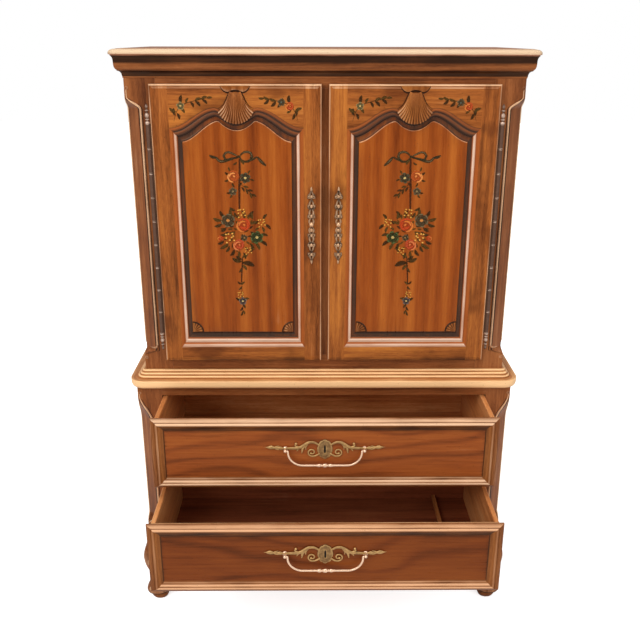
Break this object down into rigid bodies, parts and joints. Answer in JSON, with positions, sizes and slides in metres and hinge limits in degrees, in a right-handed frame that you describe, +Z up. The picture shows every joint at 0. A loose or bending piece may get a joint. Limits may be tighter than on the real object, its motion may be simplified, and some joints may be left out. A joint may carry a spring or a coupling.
{
  "type": "door chest",
  "caption": "Door chest: a cabinet with arched panel doors over a case with pull-out drawers, on scroll feet, with swinging bail pulls.",
  "frame": {"origin": "centre of the rest pose's bounding box in plan, on the floor under the feet", "axes": "+X to the chest's right as seen from the front, +Y towards the back, +Z up"},
  "size_m": [1.1348, 0.795, 1.6757],
  "materials": {
    "frame_wood": "honey-brown cherry veneer, satin lacquer",
    "case_wood": "red-brown cherry, satin lacquer",
    "panel_wood": "ribbon-figured orange-brown veneer, satin lacquer",
    "edge_wood": "rubbed pale honey edge, satin lacquer",
    "dark_groove": "dark glazed moulding with rubbed bead",
    "drawer_wood": "pale sealed drawer stock",
    "plain_wood": "unfinished inner board",
    "antique_brass": "aged brass",
    "dark_bronze": "dark bronze with worn high spots"
  },
  "bodies": {
    "case": {"front_left_foot": "case_wood", "front_right_foot": "case_wood", "back_left_foot": "case_wood", "back_right_foot": "case_wood", "front_apron": "case_wood", "left_apron": "case_wood", "right_apron": "case_wood", "lower_left_post": "case_wood", "lower_right_post": "case_wood", "lower_left_side": "case_wood", "lower_right_side": "case_wood", "drawer_rail": "case_wood", "lower_top_rail": "case_wood", "upper_left_post": "case_wood", "upper_right_post": "case_wood", "upper_left_side": "case_wood", "upper_right_side": "case_wood", "upper_bottom_rail": "case_wood", "upper_top_rail": "case_wood", "centre_stile": "case_wood", "cornice_moulding": "case_wood", "waist_board": "edge_wood", "top_board": "edge_wood", "back_apron": "plain_wood", "lower_back": "plain_wood", "upper_dust_panel": "plain_wood", "lower_dust_panel": "plain_wood", "upper_back": "plain_wood", "cabinet_floor": "plain_wood", "lower_shelf": "plain_wood", "upper_shelf": "plain_wood", "left_hinge_case_leaf": "dark_bronze", "right_hinge_case_leaf": "dark_bronze"},
    "left_door": {"left_door_frame": "frame_wood", "left_door_moulding": "dark_groove", "left_door_panel": "panel_wood", "left_door_shell": "frame_wood", "left_hinge_door_leaf": "dark_bronze", "left_door_pull": "antique_brass"},
    "right_door": {"right_door_frame": "frame_wood", "right_door_moulding": "dark_groove", "right_door_panel": "panel_wood", "right_door_shell": "frame_wood", "right_hinge_door_leaf": "dark_bronze", "right_door_pull": "antique_brass"},
    "upper_drawer": {"upper_drawer_front": "panel_wood", "upper_drawer_left_side": "drawer_wood", "upper_drawer_right_side": "drawer_wood", "upper_drawer_back": "drawer_wood", "upper_drawer_bottom": "drawer_wood", "upper_drawer_pull_plate": "antique_brass"},
    "upper_bail": {"upper_drawer_bail": "antique_brass"},
    "lower_drawer": {"lower_drawer_front": "panel_wood", "lower_drawer_left_side": "drawer_wood", "lower_drawer_right_side": "drawer_wood", "lower_drawer_back": "drawer_wood", "lower_drawer_bottom": "drawer_wood", "lower_drawer_pull_plate": "antique_brass", "lower_drawer_divider": "drawer_wood"},
    "lower_bail": {"lower_drawer_bail": "antique_brass"}
  },
  "joints": [
    {"name": "left_door_hinge", "type": "hinge", "parent": "case", "child": "left_door", "pos_m": [-0.461, -0.07995, 1.2], "axis": [0, 0, -1], "range_deg": [0, 165]},
    {"name": "right_door_hinge", "type": "hinge", "parent": "case", "child": "right_door", "pos_m": [0.461, -0.07995, 1.2], "axis": [0, 0, 1], "range_deg": [0, 165]},
    {"name": "upper_drawer_slide", "type": "slide", "parent": "case", "child": "upper_drawer", "axis": [0, -1, 0], "range_m": [-0.158, 0.202]},
    {"name": "lower_drawer_slide", "type": "slide", "parent": "case", "child": "lower_drawer", "axis": [0, -1, 0], "range_m": [-0.295, 0.065]},
    {"name": "upper_bail_pivot", "type": "hinge", "parent": "upper_drawer", "child": "upper_bail", "pos_m": [0, -0.25595, 0.6295], "axis": [-1, 0, 0], "range_deg": [0, 85]},
    {"name": "lower_bail_pivot", "type": "hinge", "parent": "lower_drawer", "child": "lower_bail", "pos_m": [0, -0.39295, 0.3845], "axis": [-1, 0, 0], "range_deg": [0, 85]}
  ]
}
